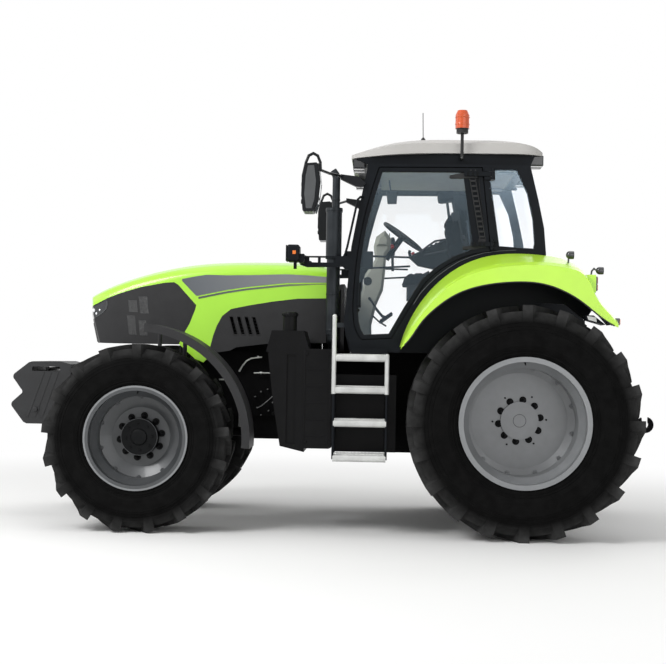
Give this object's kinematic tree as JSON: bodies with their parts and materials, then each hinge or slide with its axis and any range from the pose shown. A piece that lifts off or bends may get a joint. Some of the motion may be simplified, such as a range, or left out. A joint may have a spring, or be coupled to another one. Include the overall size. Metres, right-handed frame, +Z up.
{
  "type": "farm tractor",
  "caption": "Four-wheel-drive farm tractor with a glazed cab, steered front axle, lifting hood, opening doors and a rear three-point linkage.",
  "frame": {"origin": "on the ground, under the middle of the tractor's length and width", "axes": "+X forward along the tractor, +Y to its left, +Z up"},
  "size_m": [5.307, 2.904, 3.3507],
  "materials": {
    "green": "gloss yellow-green",
    "dark_panel": "satin dark grey",
    "lamp_glass": "clear lens",
    "cast_black": "painted casting, satin",
    "cab_black": "satin black",
    "roof_grey": "satin silver-grey",
    "glass": "light blue-grey tint",
    "seat_fabric": "woven",
    "interior_plastic": "textured",
    "tank_plastic": "moulded, satin",
    "step_metal": "grip pattern",
    "exhaust_metal": "graphite heat-resistant",
    "mirror_plastic": "satin black",
    "beacon_amber": "clear amber",
    "tyre": "matte",
    "rim_paint": "satin grey"
  },
  "bodies": {
    "tractor": {"front_frame": "cast_black", "front_weights": "cast_black", "engine_block": "cast_black", "rear_transmission": "cast_black", "front_axle": "cast_black", "drive_shaft": "cast_black", "cab_frame": "cab_black", "cab_floor": "cab_black", "cab_roof": "roof_grey", "roof_base": "cab_black", "windscreen": "glass", "quarter_windows": "glass", "seat": "seat_fabric", "seat_base": "interior_plastic", "armrest_console": "interior_plastic", "steering_column": "interior_plastic", "rear_mudguards": "green", "wheel_arches": "cab_black", "step_hangers": "cab_black", "fuel_tank": "tank_plastic", "battery_box": "tank_plastic", "cab_steps": "step_metal", "exhaust": "exhaust_metal", "mirrors": "mirror_plastic", "front_lamp_brackets": "cab_black", "work_lamps": "lamp_glass", "beacon": "beacon_amber", "hood_hinge_bracket": "dark_panel", "linkage_carrier": "cast_black", "drawbar": "cast_black"},
    "steering_wheel": {"steering_wheel": "interior_plastic"},
    "hood": {"hood": "green", "hood_front_panel": "dark_panel", "hood_rear_panels": "dark_panel", "headlamps": "lamp_glass"},
    "door_left": {"door_frame_left": "cab_black", "door_glass_left": "glass"},
    "door_right": {"door_frame_right": "cab_black", "door_glass_right": "glass"},
    "rear_window": {"rear_window": "glass"},
    "knuckle_left": {"knuckle_left": "cast_black", "front_mudguard_left": "dark_panel"},
    "knuckle_right": {"knuckle_right": "cast_black", "front_mudguard_right": "dark_panel"},
    "tie_rod": {"tie_rod": "cast_black"},
    "front_wheel_left": {"front_tyre_left": "tyre", "front_rim_left": "rim_paint"},
    "front_wheel_right": {"front_tyre_right": "tyre", "front_rim_right": "rim_paint"},
    "rear_wheel_left": {"rear_tyre_left": "tyre", "rear_rim_left": "rim_paint"},
    "rear_wheel_right": {"rear_tyre_right": "tyre", "rear_rim_right": "rim_paint"},
    "lift_arms": {"lift_arms": "cast_black"},
    "lift_rods": {"lift_rods": "cast_black"},
    "lower_links": {"lower_links": "cast_black"},
    "top_link": {"top_link": "cast_black"}
  },
  "joints": [
    {"name": "steer_left", "type": "hinge", "parent": "tractor", "child": "knuckle_left", "pos_m": [1.46, 0.69, 0.73127], "axis": [0, 0, 1], "range_deg": [-35, 35]},
    {"name": "steer_right", "type": "hinge", "parent": "tractor", "child": "knuckle_right", "pos_m": [1.46, -0.69, 0.73127], "axis": [0, 0, 1], "range_deg": [-35, 35]},
    {"name": "tie_rod_slide", "type": "slide", "parent": "tractor", "child": "tie_rod", "axis": [0, 1, 0], "range_m": [-0.0956, 0.0956]},
    {"name": "steering_wheel_turn", "type": "hinge", "parent": "tractor", "child": "steering_wheel", "pos_m": [-0.597, 0, 2.418], "axis": [-0.5812, 0, 0.8137], "range_deg": [-720, 720]},
    {"name": "front_wheel_left_spin", "type": "hinge", "parent": "knuckle_left", "child": "front_wheel_left", "pos_m": [1.46, 0.91, 0.73127], "axis": [0, 1, 0], "continuous": true},
    {"name": "front_wheel_right_spin", "type": "hinge", "parent": "knuckle_right", "child": "front_wheel_right", "pos_m": [1.46, -0.91, 0.73127], "axis": [0, 1, 0], "continuous": true},
    {"name": "rear_wheel_left_spin", "type": "hinge", "parent": "tractor", "child": "rear_wheel_left", "pos_m": [-1.54, 0.95, 0.90443], "axis": [0, 1, 0], "continuous": true},
    {"name": "rear_wheel_right_spin", "type": "hinge", "parent": "tractor", "child": "rear_wheel_right", "pos_m": [-1.54, -0.95, 0.90443], "axis": [0, 1, 0], "continuous": true},
    {"name": "hood_lift", "type": "hinge", "parent": "tractor", "child": "hood", "pos_m": [0.064, 0, 2.07], "axis": [0, -1, 0], "range_deg": [0, 50]},
    {"name": "door_left_swing", "type": "hinge", "parent": "tractor", "child": "door_left", "pos_m": [-1.29, 0.87, 2.573], "axis": [0, 0, 1], "range_deg": [0, 75]},
    {"name": "door_right_swing", "type": "hinge", "parent": "tractor", "child": "door_right", "pos_m": [-1.29, -0.87, 2.573], "axis": [0, 0, -1], "range_deg": [0, 75]},
    {"name": "rear_window_swing", "type": "hinge", "parent": "tractor", "child": "rear_window", "pos_m": [-1.602, 0, 2.9], "axis": [0, 1, 0], "range_deg": [0, 45]},
    {"name": "lift_arms_raise", "type": "hinge", "parent": "tractor", "child": "lift_arms", "pos_m": [-1.802, 0, 1.236], "axis": [0, 1, 0], "range_deg": [-58, 12]},
    {"name": "lower_links_raise", "type": "hinge", "parent": "tractor", "child": "lower_links", "pos_m": [-1.48, 0, 0.59], "axis": [0, 1, 0], "range_deg": [-25.24, 5.62]},
    {"name": "lift_rods_swing", "type": "hinge", "parent": "lift_arms", "child": "lift_rods", "pos_m": [-2.1, 0, 1.31], "axis": [0, 1, 0], "range_deg": [-13.94, 65.47]},
    {"name": "top_link_swing", "type": "hinge", "parent": "tractor", "child": "top_link", "pos_m": [-2.01, 0, 1.05], "axis": [0, 1, 0], "range_deg": [-80, 0]}
  ],
  "couplings": [
    {"joint": "steer_right", "follows": "steer_left", "ratio": 1},
    {"joint": "tie_rod_slide", "follows": "steer_left", "m_per_rad": -0.15493},
    {"joint": "steering_wheel_turn", "follows": "steer_left", "ratio": 18},
    {"joint": "lower_links_raise", "follows": "lift_arms_raise", "ratio": 0.4265},
    {"joint": "lift_rods_swing", "follows": "lift_arms_raise", "ratio": -1.1201}
  ]
}
